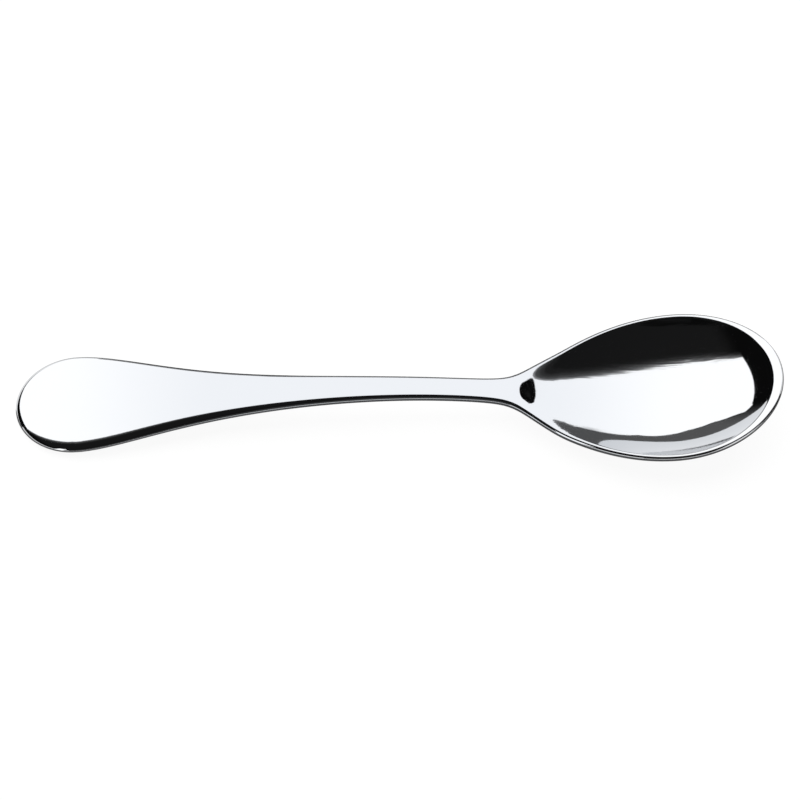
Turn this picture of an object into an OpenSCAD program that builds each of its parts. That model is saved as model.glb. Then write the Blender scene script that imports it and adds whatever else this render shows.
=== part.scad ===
// Teaspoon pressed from one stainless blank: teardrop handle, slim neck, egg-shaped bowl.
// X runs along the spoon, from the handle end to the tip of the bowl, and Z is up.
// The spoon lies as on a table: the handle end and the belly of the bowl touch Z = 0.

/* [Overall] */
// Length from the handle end to the tip of the bowl
length = 138; // [125:0.5:160]

/* [Handle] */
// Width of the handle across its round end
handle_width = 19.6; // [15:0.1:25]
// Length of the round end, up to the widest place
handle_end_length = 11; // [8:0.1:14]
// Length that sets how slowly the handle narrows
handle_taper = 12.1; // [9:0.1:14]
// Thickness of the handle at its round end
handle_thickness = 1.8; // [1.5:0.05:3]
// Rise of the crown across the top of the handle
handle_crown = 0.15; // [0:0.05:0.6]
// Width of the rounding along the upper edge at the round end; it narrows with the handle
handle_edge_round = 4; // [1:0.05:5]

/* [Neck] */
// Width that the handle narrows to
neck_width = 4; // [3:0.1:6]
// Thickness of the neck
neck_thickness = 1.4; // [1.2:0.05:3]
// Size of the soft curve where the neck opens out into the bowl
neck_flare = 1.25; // [0.6:0.05:2.4]

/* [Bowl] */
// Width of the bowl at its widest place
bowl_width = 30.1; // [25:0.1:36]
// Length from the widest place to the tip
bowl_tip_length = 19.4; // [16:0.1:24]
// Length from the widest place back to where the curves of the sides would meet
bowl_back_length = 31.3; // [29:0.1:36]
// Depth of the bowl below its rim at the widest place
bowl_depth = 5.4; // [3:0.1:8]
// Share of the wall's curve that is held back for the upper part of the sides
side_fullness = 0.3; // [0:0.05:0.6]
// Thickness of the bowl, measured upright
bowl_thickness = 1.2; // [1:0.05:2]
// Width of the flat rim along the sides
rim_width = 0.75; // [0.4:0.05:1.2]
// Width of the flat lip at the tip
lip_width = 1.7; // [0.8:0.1:3]
// Width of the rounding along the outer edge of the rim
rim_round = 0.55; // [0.4:0.05:1]
// Softness of the corner between rim and hollow, as a share of the depth
rim_corner = 0.05; // [0.02:0.01:0.15]

/* [Step from the neck] */
// Length of the hollow from the widest place back to the step
hollow_back_length = 28.25; // [24:0.05:28.5]
// Slope of the step down into the hollow
step_slope = 0.34; // [0.28:0.01:0.5]
// Depth at the foot of the step
step_depth = 1; // [0.6:0.05:1.5]
// Height over which the top of the step is blended
step_top_round = 0.38; // [0.1:0.02:0.8]
// Height over which the foot of the step is blended
step_foot_round = 0.12; // [0.05:0.01:0.4]
// Fullness of the walls at the foot of the step; below 0 they level off before the rim
step_fullness = -0.38; // [-0.6:0.02:0.2]

/* [Lower edge] */
// Height of the widest line above the underside
lower_edge_height = 0.55; // [0.3:0.05:0.7]
// Width of the rounding below that line
lower_edge_round = 0.45; // [0.3:0.05:1]

/* [Bends] */
// Height at which the lines of the handle and the neck would meet
crest_height = 7.85; // [6:0.05:12]
// Distance of that meeting point from the tip
crest_to_tip = 66; // [56:0.5:80]
// Height over which the two lines are blended at the crest
crest_softness = 8.4; // [3:0.1:12]
// Distance from the tip to where the line of the neck meets the line of the rim
dip_to_tip = 40.2; // [34:0.1:46]
// Height over which the two lines are blended at the dip
dip_softness = 1; // [0.5:0.1:3]
// Rise of the rim towards the tip, in degrees
rim_rise = 7.2; // [2:0.1:12]
// Extra rise of the tip above the straight line of the rim
tip_lift = 0.9; // [0:0.1:2]

/* [Hidden] */

// Stations along the spoon, per stretch, and points from the edge to the middle of a ring
end_stations = 12;
handle_stations = 26;
step_stations = 16;
back_stations = 24;
tip_stations = 18;
points_to_middle = 14;
// Power that crowds the points of a ring towards the edge
edge_crowding = 2.2;
// Length before and after the step that has close stations
step_margin = 1.5;
slope_step = 0.01;
belly_tries = 120;

// Places along X
bowl_x = length - bowl_tip_length;
hollow_x = bowl_x - hollow_back_length;
step_foot_x = hollow_x + step_depth / step_slope;
crest_x = length - crest_to_tip;
dip_x = length - dip_to_tip;
close_from_x = hollow_x - step_margin;
close_to_x = step_foot_x + step_margin;

// Two curves joined by a soft curve that never quite ends
function soft_max(a, b, size) = (a + b + sqrt((a - b) ^ 2 + 4 * size ^ 2)) / 2;

// Two lines joined by a bend that ends where they are a given height apart
function bend_max(a, b, height) = max(a, b) + max(height - abs(a - b), 0) ^ 3 / (6 * height ^ 2);
function bend_min(a, b, height) = -bend_max(-a, -b, height);

// Smooth step from 0 to 1 between two places
function step_up(x, from, to) =
    let (u = min(max((x - from) / (to - from), 0), 1))
    u * u * (3 - 2 * u);

// Plan outline: half-widths of the handle and of the bowl behind its widest place
function handle_half(x) =
    let (run = (x - handle_end_length) / handle_taper)
    (neck_width + (handle_width - neck_width) * (1 + run) * exp(-run)) / 2;

bowl_half = bowl_width / 2;
sides_half = bowl_half - neck_flare ^ 2 / (bowl_half - handle_half(bowl_x));

function back_half(x) =
    let (side = sides_half * (1 - ((bowl_x - x) / bowl_back_length) ^ 2))
    soft_max(handle_half(x), side, neck_flare);

// Square of the half-width, which goes on below zero past both ends
function half_squared(x) =
    x < handle_end_length ? (handle_width / 2) ^ 2 * (1 - (1 - x / handle_end_length) ^ 2)
    : x > bowl_x ? bowl_half ^ 2 * (1 - ((x - bowl_x) / bowl_tip_length) ^ 2)
    : back_half(x) ^ 2;

// Depth of the hollow along its middle: down the step, then along a floor that bends like the tip
floor_length = bowl_x - step_foot_x;
floor_fall = bowl_depth - step_depth;
tip_bend = (1 - side_fullness) * bowl_depth / (bowl_tip_length - lip_width) ^ 2;
floor_bend = tip_bend * floor_length ^ 2 / floor_fall;

function depth(x) =
    let (
        v = (bowl_x - x) / floor_length,
        floor_depth = bowl_depth - floor_fall * (floor_bend * v ^ 2 + (1 - floor_bend) * v ^ 3),
        step = step_slope * (x - hollow_x)
    )
    bend_max(bend_min(step, floor_depth, step_foot_round), 0, step_top_round);

// Share of the depth at a place from 0 in the middle of the hollow to 1 at its edge
function wall_share(out, fullness) =
    bend_max(1 - (1 - fullness) * out ^ 2 - fullness * out ^ 4, 0, rim_corner);

// Depth of the hollow at any place, for walls that start given distances inside the outline
function hollow(x, y, rim, lip) =
    x > bowl_x
    ? let (out = norm([(x - bowl_x) / (bowl_tip_length - lip), y / (bowl_half - rim)]))
        bowl_depth * wall_share(out, side_fullness)
    : let (
            half = sqrt(half_squared(x)),
            inner = max(half - rim, half / 2),
            fullness = step_fullness + (side_fullness - step_fullness) * step_up(x, step_foot_x, bowl_x)
        )
        depth(x) * wall_share(abs(y) / inner, fullness);

// Thickness, crown and upper rounding, which change from handle to neck to bowl
function from_handle_to_bowl(x, at_handle, at_neck, at_bowl) =
    at_handle
    + (at_neck - at_handle) * step_up(x, handle_end_length, crest_x)
    + (at_bowl - at_neck) * step_up(x, hollow_x, bowl_x);

function thickness(x) = from_handle_to_bowl(x, handle_thickness, neck_thickness, bowl_thickness);
function crown(x) = from_handle_to_bowl(x, handle_crown, handle_crown, 0);
function upper_round(x) =
    let (round = handle_edge_round * handle_half(max(x, handle_end_length)) / (handle_width / 2))
    from_handle_to_bowl(x, round, round, rim_round);

// Side view: the rim stands at the height at which the belly touches the table
rim_slope = tan(rim_rise);
rim_height = max([
    for (i = [0 : belly_tries])
    let (x = hollow_x + hollow_back_length * i / belly_tries)
    depth(x) + lower_edge_height + rim_slope * (bowl_x - x)
]);
dip_height = rim_height + rim_slope * (dip_x - bowl_x);
neck_slope = (crest_height - dip_height) / (dip_x - crest_x);
handle_slope = (crest_height - lower_edge_height) / crest_x;

// Height of the widest line round the spoon
function edge_height(x) =
    let (
        on_handle = lower_edge_height + handle_slope * x,
        on_neck = crest_height - neck_slope * (x - crest_x),
        lift = tip_lift * max((x - bowl_x) / bowl_tip_length, 0) ^ 2,
        on_rim = rim_height + rim_slope * (x - bowl_x) + lift
    )
    bend_max(bend_min(on_handle, on_neck, crest_softness), on_rim, dip_softness);

// Share of the full thickness that is left near the outline, for a rounded edge of a given width
function edge_share(inset, width) = sqrt(1 - (1 - min(inset / width, 1)) ^ 2);

// Closed ring of points round the spoon at one station: over the top, then back underneath
function ring(x) =
    let (
        square = half_squared(x),
        half = sqrt(square),
        square_slope = (half_squared(x + slope_step) - half_squared(x - slope_step)) / (2 * slope_step),
        edge = edge_height(x),
        above = thickness(x) - lower_edge_height
    )
    [
        for (i = [0 : 4 * points_to_middle - 1])
        let (
            top = i <= 2 * points_to_middle,
            place = (top ? i : 4 * points_to_middle - i) / points_to_middle - 1,
            across = sign(place) * (1 - (1 - abs(place)) ^ edge_crowding),
            y = half * across,
            inset = max(square - y ^ 2, 0) / sqrt(square_slope ^ 2 + 4 * y ^ 2),
            face = top
                ? (above + crown(x) * (1 - across ^ 2)) * edge_share(inset, upper_round(x))
                : -lower_edge_height * edge_share(inset, lower_edge_round),
            sunk = top ? hollow(x, y, rim_width, lip_width) : hollow(x, y, 0, 0)
        )
        [x, y, edge + face - sunk]
    ];

// Stations, closer together towards the round ends and at the step
stations = [
    for (i = [1 : end_stations]) handle_end_length * (1 - cos(90 * i / end_stations)),
    for (i = [1 : handle_stations])
    handle_end_length + (close_from_x - handle_end_length) * i / handle_stations,
    for (i = [1 : step_stations]) close_from_x + (close_to_x - close_from_x) * i / step_stations,
    for (i = [1 : back_stations]) close_to_x + (bowl_x - close_to_x) * i / back_stations,
    for (i = [1 : tip_stations - 1]) bowl_x + bowl_tip_length * sin(90 * i / tip_stations)
];

// Skin over rings of points, closed to a single point at either end
module lofted_skin(rings, first_point, last_point) {
    size = len(rings[0]);
    count = len(rings);
    last = count * size;
    points = [for (r = rings) each r, first_point, last_point];
    sides = [
        for (k = [0 : count - 2])
        for (i = [0 : size - 1])
        let (a = k * size + i, b = k * size + (i + 1) % size)
        each [[a, b, a + size], [b, b + size, a + size]]
    ];
    ends = [
        for (i = [0 : size - 1])
        let (j = (i + 1) % size, tail = last - size)
        each [[last, j, i], [last + 1, tail + i, tail + j]]
    ];
    polyhedron(points = points, faces = concat(sides, ends), convexity = 6);
}

// The whole spoon, with its origin under the middle of its length and width
module spoon() {
    color("gainsboro")
    translate([-length / 2, 0, 0])
    lofted_skin(
        [for (x = stations) ring(x)],
        [0, 0, edge_height(0)],
        [length, 0, edge_height(length)]
    );
}

spoon();
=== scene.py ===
import math

import bmesh
import bpy
from mathutils import Matrix, Vector


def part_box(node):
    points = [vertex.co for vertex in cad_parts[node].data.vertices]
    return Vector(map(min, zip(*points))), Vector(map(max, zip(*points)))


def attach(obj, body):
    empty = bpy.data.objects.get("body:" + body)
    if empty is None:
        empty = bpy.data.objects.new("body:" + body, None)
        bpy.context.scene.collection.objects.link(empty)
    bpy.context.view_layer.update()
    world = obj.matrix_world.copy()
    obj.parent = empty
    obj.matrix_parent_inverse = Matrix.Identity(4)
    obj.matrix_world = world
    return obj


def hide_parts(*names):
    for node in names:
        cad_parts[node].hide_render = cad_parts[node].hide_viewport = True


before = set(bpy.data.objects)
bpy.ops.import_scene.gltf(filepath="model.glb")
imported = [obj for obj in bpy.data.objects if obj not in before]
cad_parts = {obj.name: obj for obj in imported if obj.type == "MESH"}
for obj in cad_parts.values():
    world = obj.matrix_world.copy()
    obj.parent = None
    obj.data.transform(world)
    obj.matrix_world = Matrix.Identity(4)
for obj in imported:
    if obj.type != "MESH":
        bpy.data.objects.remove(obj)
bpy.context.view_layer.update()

spoon_low, spoon_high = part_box("spoon")

# Sizes of the spoon in millimetres. RIM_RISE is in degrees, and the slope, the two kinds of fullness and
# RIM_CORNER are shares.
MM = 0.001
LENGTH = (spoon_high[0] - spoon_low[0]) / MM
HANDLE_WIDTH = 19.6
HANDLE_END_LENGTH = 11.0
HANDLE_TAPER = 12.1
HANDLE_THICKNESS = 1.8
HANDLE_CROWN = 0.15
HANDLE_EDGE_ROUND = 4.0
NECK_WIDTH = 4.0
NECK_THICKNESS = 1.4
NECK_FLARE = 1.25
LOWER_EDGE_HEIGHT = 0.55
LOWER_EDGE_ROUND = 0.45
BOWL_WIDTH = (spoon_high[1] - spoon_low[1]) / MM
BOWL_TIP_LENGTH = 19.4
BOWL_BACK_LENGTH = 31.3
BOWL_DEPTH = 5.4
BOWL_THICKNESS = 1.2
HOLLOW_BACK_LENGTH = 28.25
LEAST_HOLLOW_HALF = 0.1
STEP_SLOPE = 0.34
STEP_TOP_ROUND = 0.38
STEP_DEPTH = 1.0
STEP_FOOT_ROUND = 0.12
STEP_FULLNESS = -0.38
SIDE_FULLNESS = 0.3
RIM_WIDTH = 0.75
LIP_WIDTH = 1.7
RIM_ROUND = 0.55
RIM_CORNER = 0.05
CREST_HEIGHT = 7.85
CREST_TO_TIP = 66.0
CREST_SOFTNESS = 8.4
DIP_TO_TIP = 40.2
DIP_SOFTNESS = 1.0
RIM_RISE = 7.2
TIP_LIFT = 0.9

# Places along the spoon, counted from the handle end
BOWL_X = LENGTH - BOWL_TIP_LENGTH
HOLLOW_X = BOWL_X - HOLLOW_BACK_LENGTH
STEP_FOOT_X = HOLLOW_X + STEP_DEPTH / STEP_SLOPE
CREST_X = LENGTH - CREST_TO_TIP
DIP_X = LENGTH - DIP_TO_TIP

# Rings of the skin along each stretch, points round each ring, and how the points crowd towards the edges
END_RINGS = 32
HANDLE_RINGS = 90
BACK_RINGS = 150
TIP_RINGS = 68
RINGS = END_RINGS + HANDLE_RINGS + BACK_RINGS + TIP_RINGS
POINTS_ROUND = 200
EDGE_CROWDING = 2.2

# Places tried for the lowest point of the belly, the step for the outline's slope, and what keeps a
# division from zero
BELLY_TRIES = 60
OUTLINE_STEP = 0.01
NEXT_TO_NOTHING = 1e-9


# Curves that the blank is pressed to

def soft_max(a, b, size):
    """Larger of two values, with a long soft corner of a given size."""
    return (a + b + math.sqrt((a - b) ** 2 + 4 * size ** 2)) / 2


def bend_max(a, b, height):
    """Larger of two values, with a short bend where they differ by less than a given height."""
    return max(a, b) + max(height - abs(a - b), 0) ** 3 / (6 * height ** 2)


def bend_min(a, b, height):
    """Smaller of two values, with the same bend."""
    return -bend_max(-a, -b, height)


def step_up(x, start, end):
    """Smooth rise from 0 to 1 between two places."""
    u = min(max((x - start) / (end - start), 0), 1)
    return u * u * (3 - 2 * u)


def handle_half(x):
    """Half the width of the handle and neck, past the round end."""
    run = (x - HANDLE_END_LENGTH) / HANDLE_TAPER
    return (NECK_WIDTH + (HANDLE_WIDTH - NECK_WIDTH) * (1 + run) * math.exp(-run)) / 2


def back_half(x):
    """Half the width from the handle's round end to the widest place of the bowl."""
    sides_half = BOWL_WIDTH / 2 - NECK_FLARE ** 2 / (BOWL_WIDTH / 2 - handle_half(BOWL_X))
    side = sides_half * (1 - ((BOWL_X - x) / BOWL_BACK_LENGTH) ** 2)
    return soft_max(handle_half(x), side, NECK_FLARE)


def half_squared(x):
    """Square of half the width, which stays smooth at the two round ends."""
    if x < HANDLE_END_LENGTH:
        return (HANDLE_WIDTH / 2) ** 2 * (1 - (1 - x / HANDLE_END_LENGTH) ** 2)
    if x > BOWL_X:
        return (BOWL_WIDTH / 2) ** 2 * (1 - ((x - BOWL_X) / BOWL_TIP_LENGTH) ** 2)
    return back_half(x) ** 2


def profile(out, fullness):
    """Share of the depth from the middle of the hollow out to its edge."""
    return bend_max(1 - (1 - fullness) * out ** 2 - fullness * out ** 4, 0, RIM_CORNER)


def depth(x):
    """Depth of the hollow along its middle, from the top of the step over its foot to the deepest place."""
    back = BOWL_X - STEP_FOOT_X
    fall = BOWL_DEPTH - STEP_DEPTH
    bend = (1 - SIDE_FULLNESS) * BOWL_DEPTH / fall * (back / (BOWL_TIP_LENGTH - LIP_WIDTH)) ** 2
    v = (BOWL_X - x) / back
    floor = BOWL_DEPTH - fall * (bend * v ** 2 + (1 - bend) * v ** 3)
    ramp = STEP_SLOPE * (x - HOLLOW_X)
    return bend_max(bend_min(ramp, floor, STEP_FOOT_ROUND), 0, STEP_TOP_ROUND)


def hollow(x, y, rim, lip):
    """Depth of the hollow at a place, for walls that start given distances inside the outline."""
    if x > BOWL_X:
        out = math.hypot((x - BOWL_X) / (BOWL_TIP_LENGTH - lip), y / (BOWL_WIDTH / 2 - rim))
        return BOWL_DEPTH * profile(out, SIDE_FULLNESS)
    half = math.sqrt(max(half_squared(x), 0))
    fullness = STEP_FULLNESS + (SIDE_FULLNESS - STEP_FULLNESS) * step_up(x, STEP_FOOT_X, BOWL_X)
    return depth(x) * profile(abs(y) / max(half - rim, half / 2, LEAST_HOLLOW_HALF), fullness)


def from_handle_to_bowl(x, at_handle, at_neck, at_bowl):
    """A size that changes smoothly from the handle over the neck to the bowl."""
    to_neck = (at_neck - at_handle) * step_up(x, HANDLE_END_LENGTH, CREST_X)
    to_bowl = (at_bowl - at_neck) * step_up(x, HOLLOW_X, BOWL_X)
    return at_handle + to_neck + to_bowl


def thickness(x):
    return from_handle_to_bowl(x, HANDLE_THICKNESS, NECK_THICKNESS, BOWL_THICKNESS)


RIM_SLOPE = math.tan(math.radians(RIM_RISE))


def rim_height_at_rest():
    """Height of the rim at the bowl's widest place, with the belly on the table."""
    places = [HOLLOW_X + HOLLOW_BACK_LENGTH * i / BELLY_TRIES for i in range(BELLY_TRIES + 1)]
    return max(depth(x) + LOWER_EDGE_HEIGHT + RIM_SLOPE * (BOWL_X - x) for x in places)


RIM_HEIGHT = rim_height_at_rest()
DIP_HEIGHT = RIM_HEIGHT + RIM_SLOPE * (DIP_X - BOWL_X)
NECK_SLOPE = (CREST_HEIGHT - DIP_HEIGHT) / (DIP_X - CREST_X)
HANDLE_SLOPE = (CREST_HEIGHT - LOWER_EDGE_HEIGHT) / CREST_X


def edge_height(x):
    """Height of the outline above the table: handle, neck and rim, with bends between them."""
    on_handle = LOWER_EDGE_HEIGHT + HANDLE_SLOPE * x
    on_neck = CREST_HEIGHT - NECK_SLOPE * (x - CREST_X)
    past_bowl = max((x - BOWL_X) / BOWL_TIP_LENGTH, 0)
    on_rim = RIM_HEIGHT + RIM_SLOPE * (x - BOWL_X) + TIP_LIFT * past_bowl ** 2
    return bend_max(bend_min(on_handle, on_neck, CREST_SOFTNESS), on_rim, DIP_SOFTNESS)


def edge_share(inset, width):
    """Quarter-round rise from 0 at the outline to 1 at a given width inside it."""
    return math.sqrt(1 - (1 - min(inset / width, 1)) ** 2)


def station(turn):
    """Place along the spoon for a ring, counted from 0 at the handle end to 1 at the tip."""
    ring = turn * RINGS
    if ring < END_RINGS:
        return HANDLE_END_LENGTH * (1 - math.cos(math.pi / 2 * ring / END_RINGS))
    ring -= END_RINGS
    if ring < HANDLE_RINGS:
        return HANDLE_END_LENGTH + (HOLLOW_X - HANDLE_END_LENGTH) * ring / HANDLE_RINGS
    ring -= HANDLE_RINGS
    if ring < BACK_RINGS:
        return HOLLOW_X + (BOWL_X - HOLLOW_X) * ring / BACK_RINGS
    ring -= BACK_RINGS
    return BOWL_X + BOWL_TIP_LENGTH * math.sin(math.pi / 2 * min(ring / TIP_RINGS, 1))


def inset_from_outline(x, y):
    """Distance of a place inside the outline, true close to the edge."""
    square = max(half_squared(x), 0)
    slope = (half_squared(x + OUTLINE_STEP) - half_squared(x - OUTLINE_STEP)) / (2 * OUTLINE_STEP)
    return max(square - y ** 2, 0) / math.sqrt(slope ** 2 + 4 * y ** 2 + NEXT_TO_NOTHING)


def pressed(point):
    """Where a point of a unit ball, with its poles on X, goes on the finished spoon."""
    x = station(math.acos(max(-1, min(1, -point.x))) / math.pi)
    turn = math.atan2(abs(point.z), abs(point.y)) / (math.pi / 2)
    across = math.copysign(1 - turn ** EDGE_CROWDING, point.y)
    y = math.sqrt(max(half_squared(x), 0)) * across
    inset = inset_from_outline(x, y)
    if point.z >= 0:
        handle_round = HANDLE_EDGE_ROUND * 2 * handle_half(max(x, HANDLE_END_LENGTH)) / HANDLE_WIDTH
        upper_round = from_handle_to_bowl(x, handle_round, handle_round, RIM_ROUND)
        crown = from_handle_to_bowl(x, HANDLE_CROWN, HANDLE_CROWN, 0) * (1 - across ** 2)
        face = (thickness(x) - LOWER_EDGE_HEIGHT + crown) * edge_share(inset, upper_round)
        sunk = hollow(x, y, RIM_WIDTH, LIP_WIDTH)
    else:
        face = -LOWER_EDGE_HEIGHT * edge_share(inset, LOWER_EDGE_ROUND)
        sunk = hollow(x, y, 0, 0)
    height = (edge_height(x) - sunk + face) * MM
    return Vector((spoon_low[0] + x * MM, y * MM, min(max(height, spoon_low[2]), spoon_high[2])))


# Pieces

def placed(name, data):
    """A new object in the scene."""
    piece = bpy.data.objects.new(name, data)
    bpy.context.scene.collection.objects.link(piece)
    return piece


def finished(name, shape):
    """A new object with a finished shape as its mesh."""
    mesh = bpy.data.meshes.new(name)
    shape.to_mesh(mesh)
    shape.free()
    return placed(name, mesh)


def forged_spoon():
    """One closed skin: a ball with its poles at the two ends, pressed to the spoon's shape."""
    skin = bmesh.new()
    bmesh.ops.create_uvsphere(skin, u_segments=POINTS_ROUND, v_segments=RINGS, radius=1)
    bmesh.ops.rotate(skin, verts=skin.verts, matrix=Matrix.Rotation(math.pi / 2, 3, "Y"))
    for vert in skin.verts:
        vert.co = pressed(vert.co)
    bmesh.ops.recalc_face_normals(skin, faces=skin.faces)
    for face in skin.faces:
        face.smooth = True
    return finished("spoon_skin", skin)


# Shader maths

class Wire:
    """A shader socket that joins with others by Python's own operators."""

    def __init__(self, sheet, socket):
        self.sheet = sheet
        self.socket = socket

    def joined(self, operation, first, second):
        return self.sheet.add("ShaderNodeMath", {"operation": operation}, {0: first, 1: second})

    def __add__(self, other):
        return self.joined("ADD", self, other)

    def __radd__(self, other):
        return self.joined("ADD", other, self)

    def __sub__(self, other):
        return self.joined("SUBTRACT", self, other)

    def __rsub__(self, other):
        return self.joined("SUBTRACT", other, self)

    def __mul__(self, other):
        return self.joined("MULTIPLY", self, other)

    def __rmul__(self, other):
        return self.joined("MULTIPLY", other, self)


class ShaderSheet:
    """A node tree that is written one node a line."""

    def __init__(self, tree):
        self.tree = tree
        self.tree.nodes.clear()

    def add(self, kind, settings=None, inputs=None, output=0):
        node = self.tree.nodes.new(kind)
        for name, value in (settings or {}).items():
            setattr(node, name, value)
        for key, value in (inputs or {}).items():
            if isinstance(value, Wire):
                self.tree.links.new(value.socket, node.inputs[key])
            else:
                node.inputs[key].default_value = value
        return Wire(self, node.outputs[output]) if node.outputs else node

    def ramp(self, value, start, end):
        """Smooth rise from 0 to 1 while a value goes from one place to another."""
        return self.add("ShaderNodeMapRange", {"interpolation_type": "SMOOTHSTEP"}, {
            "Value": value, "From Min": start, "From Max": end})


def new_material(name):
    material = bpy.data.materials.new(name)
    material.use_nodes = True
    return material, ShaderSheet(material.node_tree)


# Finish of the steel. Its two colours are painted sheen: the handle end and the bowl are painted brighter
# than the neck, so that the reflections there come out brighter. Each pair says where a change starts and
# where it is complete, in metres along the spoon or, for WORN_SIDE, across it. LINE_SCALE is how fine the
# lines are along, across and up the spoon.
NECK_SHADE_STEEL = (0.575, 0.592, 0.62, 1)
END_SHEEN_STEEL = (0.665, 0.675, 0.69, 1)
HANDLE_SHEEN = (-0.03, -0.065)
BOWL_SHEEN = (0.026, 0.052)
SMUDGE_SCALE = 90
SMUDGE_DETAIL = 4
SMUDGE_TINT = 0.12
LINE_SCALE = (60, 3500, 1500)
LINE_DETAIL = 1.5
LINE_DEPTH = 0.008 * MM
WORN_BACK = (0.025, 0.045)
WORN_TIP = (0.063, 0.058)
WORN_SIDE = (0.0, 0.004)
WORN_LEAST = 0.1
MIRROR_ROUGHNESS = 0.02
SMUDGE_ROUGHNESS = 0.05
LINE_ROUGHNESS = 0.06


def polished_steel():
    """Mirror-polished stainless steel: painted sheen that makes the ends brighter and the neck duller,
    smudges and fine polishing lines.

    The lines are faint all over, and plainer on the far wall of the bowl.
    """
    material, sheet = new_material("polished_steel")
    place = sheet.add("ShaderNodeTexCoord", output="Object")
    x = sheet.add("ShaderNodeSeparateXYZ", inputs={"Vector": place}, output="X")
    y = sheet.add("ShaderNodeSeparateXYZ", inputs={"Vector": place}, output="Y")
    smudges = sheet.add("ShaderNodeTexNoise", inputs={
        "Vector": place, "Scale": SMUDGE_SCALE, "Detail": SMUDGE_DETAIL}, output="Fac")
    # Painted sheen: brighter towards the handle end and over the bowl, for brighter reflections there. The
    # smudges add a tone that differs at random.
    ends = sheet.ramp(x, *HANDLE_SHEEN) + sheet.ramp(x, *BOWL_SHEEN)
    bright = ends + SMUDGE_TINT * smudges - SMUDGE_TINT / 2
    colour = sheet.add("ShaderNodeMix", {"data_type": "RGBA"}, {
        "Factor": bright, "A": NECK_SHADE_STEEL, "B": END_SHEEN_STEEL}, output="Result")
    along = sheet.add("ShaderNodeMapping", inputs={"Vector": place, "Scale": LINE_SCALE})
    lines = sheet.add("ShaderNodeTexNoise", inputs={
        "Vector": along, "Scale": 1, "Detail": LINE_DETAIL}, output="Fac")
    far_wall = sheet.ramp(x, *WORN_BACK) * sheet.ramp(x, *WORN_TIP) * sheet.ramp(y, *WORN_SIDE)
    worn = WORN_LEAST + (1 - WORN_LEAST) * far_wall
    normal = sheet.add("ShaderNodeBump", inputs={
        "Strength": 1.0, "Distance": LINE_DEPTH, "Height": lines * worn})
    steel = sheet.add("ShaderNodeBsdfPrincipled", inputs={
        "Base Color": colour,
        "Metallic": 1.0,
        "Roughness": MIRROR_ROUGHNESS + SMUDGE_ROUGHNESS * smudges + LINE_ROUGHNESS * worn * lines,
        "Normal": normal,
    })
    sheet.add("ShaderNodeOutputMaterial", inputs={"Surface": steel})
    return material


# Camera: angles in degrees, places in metres, sensor in millimetres and the spoon's share of the frame
CAMERA_AZIMUTH = -0.49
CAMERA_ELEVATION = 60.0
CAMERA_DISTANCE = 1.1
AIM_X = 0.27 * MM
AIM_HEIGHT = 2.45 * MM
NEAREST_SEEN = 0.01
SENSOR_WIDTH = 36
SPOON_SHARE = 0.958


def aim_camera():
    """A long lens at the photograph's angle, with the spoon filling the frame from side to side."""
    lens = bpy.data.cameras.new("camera")
    lens.sensor_width = SENSOR_WIDTH
    lens.lens = SENSOR_WIDTH * CAMERA_DISTANCE * SPOON_SHARE / (LENGTH * MM)
    lens.clip_start = NEAREST_SEEN
    azimuth = math.radians(CAMERA_AZIMUTH)
    elevation = math.radians(CAMERA_ELEVATION)
    back = Vector((
        math.cos(elevation) * math.sin(azimuth),
        -math.cos(elevation) * math.cos(azimuth),
        math.sin(elevation),
    ))
    camera = placed("camera", lens)
    camera.location = Vector((AIM_X, 0, AIM_HEIGHT)) + CAMERA_DISTANCE * back
    camera.rotation_euler = back.to_track_quat("Z", "Y").to_euler()
    bpy.context.scene.camera = camera


# Studio, in metres, with the lamps' angles in degrees. A level is how bright the metal sees a card, where 1
# is white. A fade names an axis, the place on it where a card is black and the place where it has its full
# level.
CARD_HEIGHT = 1.5
BLACK_LEVEL = 0.004
FLOOR_LEVEL = 0.93
FLOOR_PAPER = (0.15, 0.15, 0.15, 1)
FLOOR_REACH = 9
LAMP_LEVEL = 0.5
LAMP_WIDTH = 14
LAMP_LENGTH = 10
LAMP_Y = 3
LAMP_GAP = 0.01
LOW_LAMP_Y = 8
FACING_DOWN = 0
FACING_FRONT = -90

# Edges of the opening between the cards under the lamp, on the table plan
FRONT_EDGE = (
    (-2.3, 0.045), (-1.27, -0.105), (-0.54, -0.145), (0, -0.1), (0.47, -0.02), (0.85, 0.025), (1.42, 0.18),
)
RIGHT_EDGE = ((1.42, 0.18), (1.45, 0.9), (1.6, 1.5), (2.1, 2.7), (2.45, 3.2), (2.9, 4.6))
LEFT_END = (-6.7, 7.6)

# Cards in front and at the sides. Their bright parts light up the metal when it is seen from other sides.
CARD_FRONT = -1.7
FRONT_FOOT = -2.5
FRONT_LEVEL = 0.1
SIDE_LEVEL = 1.0
LEFT_FADE = ("Z", 0.7, 0.3)
RIGHT_FADE = ("Z", 1.1, 0.6)
RIGHT_FRONT_FADE = ("Y", -0.6, -1.6)
FRONT_LEFT_END = -0.8
FRONT_RIGHT_FADE = ("X", 0.6, 1.2)

# Roof in front of the opening. The strips along its edge grow paler: each has the distances of its two
# sides behind the edge, and its level.
ROOF_LEVEL = 0.012
SOFT_EDGE = ((-0.2, -0.13, 0.02), (-0.13, -0.07, 0.045), (-0.07, 0, 0.09), (0, 0.05, 0.3))

# Low card behind on the left, which is higher at its left end
LEFT_BACK = (-1.7, 7.9)
LEFT_END_HEIGHT = 1.2
LEFT_BACK_HEIGHT = 0.3
LEFT_BACK_LEVEL = 1.45

# Small bright window close to the handle: its distance in front, and its left, right, lower and upper edges
WINDOW_Y = -0.2
WINDOW = (-0.2, -0.152, 0.01, 0.16)
WINDOW_LEVEL = 1.6

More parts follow.
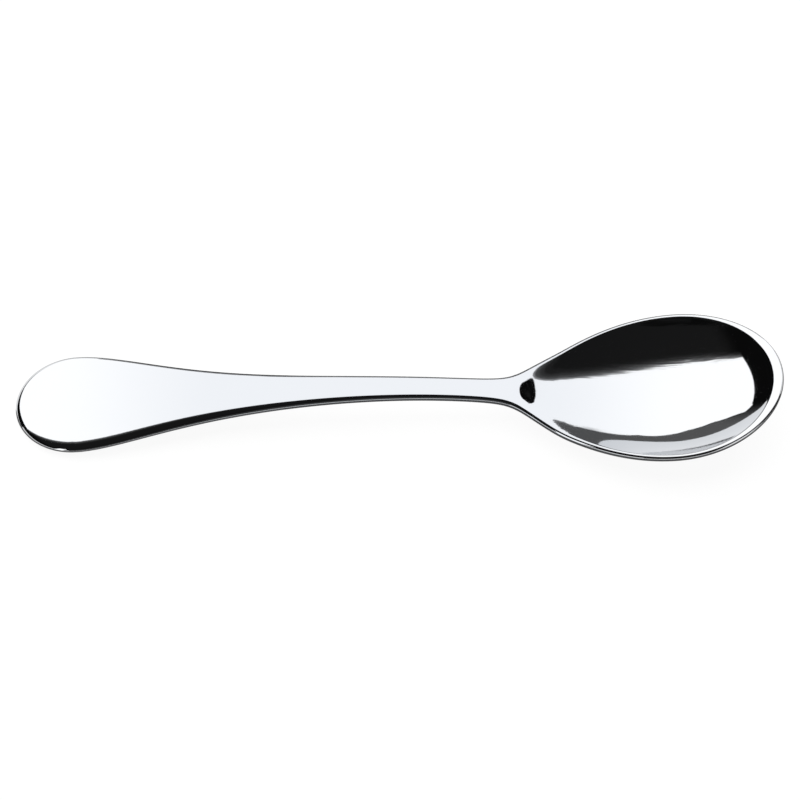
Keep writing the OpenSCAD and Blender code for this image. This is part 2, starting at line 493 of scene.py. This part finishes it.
# Cards close behind the bowl: the distance and the line of the upper edge of each
BACK_CARDS = (
    (0.1, (
        (-0.06, 0.01), (-0.045, 0.011), (-0.032, 0.016), (-0.03, 0.025), (-0.016, 0.024), (-0.01, 0.036),
        (0.007, 0.051), (0.027, 0.051), (0.05, 0.039), (0.056, 0.038), (0.064, 0.022), (0.07, 0.021),
        (0.08, 0.012),
    )),
    (0.3, ((0.06, 0.1), (0.104, 0.079), (0.107, 0.1), (0.13, 0.105), (0.175, 0.094))),
)
BACK_LEVEL = 0.12
BACK_FADE = ("X", -0.03, 0.01)

# Shadow mats on the table. They are painted shadow: dark sheets where the table lies in the spoon's shade,
# which the metal mirrors as dark lines along its edges. The handle's mats meet the bowl's at the place set
# below, and the far one goes from white to black between the two places set for it.
SHADOW_MAT_HEIGHT = 0.0002
SHADOW_MAT_MARGIN = 0.03
SHADOW_MAT_X = -0.02
HANDLE_SHADOW_LEFT = 0.3
FAR_SHADOW_FADE = (-0.068, -0.045)
BOWL_SHADOW_END = 0.5
HANDLE_SHADOW_LEVEL = 0.16
BOWL_SHADOW_LEVEL = 0.11


def rectangle(left, right, low, high):
    """Corners of a rectangle, in order round it."""
    return (left, low), (right, low), (right, high), (left, high)


def card(name, corners):
    """A flat four-cornered card: a unit square that is drawn out to its corners."""
    shape = bmesh.new()
    bmesh.ops.create_grid(shape, x_segments=1, y_segments=1, size=0.5)
    a, b, c, d = [Vector(corner) for corner in corners]
    for vert in shape.verts:
        across = vert.co.x + 0.5
        along = vert.co.y + 0.5
        vert.co = a.lerp(b, across).lerp(d.lerp(c, across), along)
    piece = finished(name, shape)
    return piece


def white_floor():
    """Pale floor that reads white to the eye and in the metal, and keeps a faint shadow."""
    square = rectangle(-FLOOR_REACH, FLOOR_REACH, -FLOOR_REACH, FLOOR_REACH)
    floor = card("floor", [(x, y, 0) for x, y in square])
    material, sheet = new_material("white_floor")
    eye = sheet.add("ShaderNodeLightPath", output="Is Camera Ray")
    mirrored = sheet.add("ShaderNodeLightPath", output="Is Glossy Ray")
    through = sheet.add("ShaderNodeLightPath", output="Is Transmission Ray")
    glow = sheet.add("ShaderNodeEmission", inputs={
        "Color": (1, 1, 1, 1), "Strength": FLOOR_LEVEL * (eye + mirrored + through)})
    paper = sheet.add("ShaderNodeBsdfDiffuse", inputs={"Color": FLOOR_PAPER})
    both = sheet.add("ShaderNodeAddShader", inputs={0: glow, 1: paper})
    sheet.add("ShaderNodeOutputMaterial", inputs={"Surface": both})
    floor.data.materials.append(material)


def studio_card(name, corners, level, fade=None):
    """A card that the metal sees at a given level, and the camera doesn't see."""
    piece = card(name, corners)
    material, sheet = new_material(name)
    glow = (level, level, level, 1)
    if fade:
        axis, black, full = fade
        place = sheet.add("ShaderNodeTexCoord", output="Object")
        along = sheet.add("ShaderNodeSeparateXYZ", inputs={"Vector": place}, output=axis)
        glow = BLACK_LEVEL + (level - BLACK_LEVEL) * sheet.ramp(along, black, full)
    shine = sheet.add("ShaderNodeEmission", inputs={"Color": glow, "Strength": 1.0})
    sheet.add("ShaderNodeOutputMaterial", inputs={"Surface": shine})
    piece.data.materials.append(material)
    piece.visible_camera = False
    return piece


def unlit(piece):
    """Keeps a card from lighting the floor or casting a shadow on it."""
    piece.visible_diffuse = False
    piece.visible_shadow = False


def wall(name, start, end, level, fade=None):
    """A standing card between two places on the table plan."""
    foot, top = (0,), (CARD_HEIGHT,)
    studio_card(name, [start + foot, end + foot, end + top, start + top], level, fade)


def roof(name, places, level, fade=None):
    """A card laid flat at the height of the walls."""
    studio_card(name, [place + (CARD_HEIGHT,) for place in places], level, fade)


def walls():
    """Cards round the table, which draw the dark shapes in the metal."""
    left, right = FRONT_EDGE[0], FRONT_EDGE[-1]
    wall("left_card", LEFT_END, left, BLACK_LEVEL)
    wall("left_front_card", left, (left[0], FRONT_FOOT), SIDE_LEVEL, LEFT_FADE)
    wall("right_front_card", (right[0], FRONT_FOOT), right, SIDE_LEVEL, RIGHT_FRONT_FADE)
    for name, start, end, level, fade in (
        ("front_left_card", left[0], FRONT_LEFT_END, SIDE_LEVEL, LEFT_FADE),
        ("front_card", FRONT_LEFT_END, FRONT_RIGHT_FADE[1], FRONT_LEVEL, ("Z", CARD_HEIGHT, 0)),
        ("front_right_card", FRONT_RIGHT_FADE[1], right[0], SIDE_LEVEL, FRONT_RIGHT_FADE),
    ):
        foot = [(start, FRONT_FOOT, 0), (end, FRONT_FOOT, 0)]
        top = [(end, CARD_FRONT, CARD_HEIGHT), (start, CARD_FRONT, CARD_HEIGHT)]
        studio_card(name, foot + top, level, fade)
    for i, (start, end) in enumerate(zip(RIGHT_EDGE, RIGHT_EDGE[1:])):
        wall("right_card_%d" % i, start, end, SIDE_LEVEL, RIGHT_FADE)


def roofs():
    """Roof in front of the opening, whose soft edge draws the edge of the dark far wall of the bowl."""
    for i, (start, end) in enumerate(zip(FRONT_EDGE, FRONT_EDGE[1:])):
        front = [(start[0], CARD_FRONT), (end[0], CARD_FRONT)]
        inner = [(x, y + SOFT_EDGE[0][0]) for x, y in (end, start)]
        roof("roof_card_%d" % i, front + inner, ROOF_LEVEL, ("X", start[0], end[0]) if i == 0 else None)
        for near, far, level in SOFT_EDGE:
            sides = ((start, near), (end, near), (end, far), (start, far))
            roof("roof_edge_%d" % i, [(x, y + behind) for (x, y), behind in sides], level)


def left_back_card():
    """Low pale card behind on the left, which fades to black at its left end."""
    foot = [LEFT_END + (0,), LEFT_BACK + (0,)]
    top = [LEFT_BACK + (LEFT_BACK_HEIGHT,), LEFT_END + (LEFT_END_HEIGHT,)]
    studio_card("left_back_card", foot + top, LEFT_BACK_LEVEL, ("X", LEFT_END[0], LEFT_BACK[0]))


def bright_window():
    """A small bright card low in front, for the spots of light on the near edge."""
    corners = [(x, WINDOW_Y, z) for x, z in rectangle(*WINDOW)]
    unlit(studio_card("window_card", corners, WINDOW_LEVEL))


def back_cards():
    """Dark grey cards close behind the bowl, with their upper edges in straight lengths."""
    for y, top in BACK_CARDS:
        for (x0, z0), (x1, z1) in zip(top, top[1:]):
            corners = [(x0, y, 0), (x1, y, 0), (x1, y, z1), (x0, y, z0)]
            unlit(studio_card("back_card", corners, BACK_LEVEL, BACK_FADE))


def shadow_mats():
    """Painted shadow: grey mats on the table that only the metal sees, standing for the table's shade
    beside the spoon, for the dark lines along its edges.
    """
    near, far = spoon_low[1] - SHADOW_MAT_MARGIN, spoon_high[1] + SHADOW_MAT_MARGIN
    for name, left, right, front, back, level, fade in (
        ("handle_shadow_mat", spoon_low[0] - HANDLE_SHADOW_LEFT, SHADOW_MAT_X, near, 0, HANDLE_SHADOW_LEVEL, None),
        ("far_shadow_mat", FAR_SHADOW_FADE[0], SHADOW_MAT_X, 0, far, FLOOR_LEVEL, ("X", FAR_SHADOW_FADE[1], FAR_SHADOW_FADE[0])),
        ("bowl_shadow_mat", SHADOW_MAT_X, BOWL_SHADOW_END, near, far, BOWL_SHADOW_LEVEL, None),
    ):
        corners = [(x, y, SHADOW_MAT_HEIGHT) for x, y in rectangle(left, right, front, back)]
        unlit(studio_card(name, corners, level, fade))


def soft_lamp(name, width, length, place, tilt):
    """A wide soft lamp, tilted by an angle from facing down, which the camera doesn't see."""
    light = bpy.data.lights.new(name, "AREA")
    light.shape = "RECTANGLE"
    light.size = width
    light.size_y = length
    light.energy = LAMP_LEVEL * math.pi * width * length
    lamp = placed(name, light)
    lamp.location = place
    lamp.rotation_euler = (math.radians(tilt), 0, 0)
    lamp.visible_camera = False


def white_world():
    """Even white light from all round."""
    world = bpy.data.worlds.new("white_studio")
    bpy.context.scene.world = world
    world.use_nodes = True
    sheet = ShaderSheet(world.node_tree)
    sky = sheet.add("ShaderNodeBackground", inputs={"Color": (1, 1, 1, 1), "Strength": 1.0})
    sheet.add("ShaderNodeOutputWorld", inputs={"Surface": sky})


aim_camera()
spoon = forged_spoon()
spoon.data.materials.append(polished_steel())
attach(spoon, "root")
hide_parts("spoon")
white_floor()
walls()
roofs()
left_back_card()
bright_window()
back_cards()
shadow_mats()
soft_lamp("soft_lamp", LAMP_WIDTH, LAMP_LENGTH, (0, LAMP_Y, CARD_HEIGHT + LAMP_GAP), FACING_DOWN)
soft_lamp("low_lamp", LAMP_WIDTH, CARD_HEIGHT, (0, LOW_LAMP_Y, CARD_HEIGHT / 2), FACING_FRONT)
white_world()
bpy.context.scene.view_settings.view_transform = "Standard"
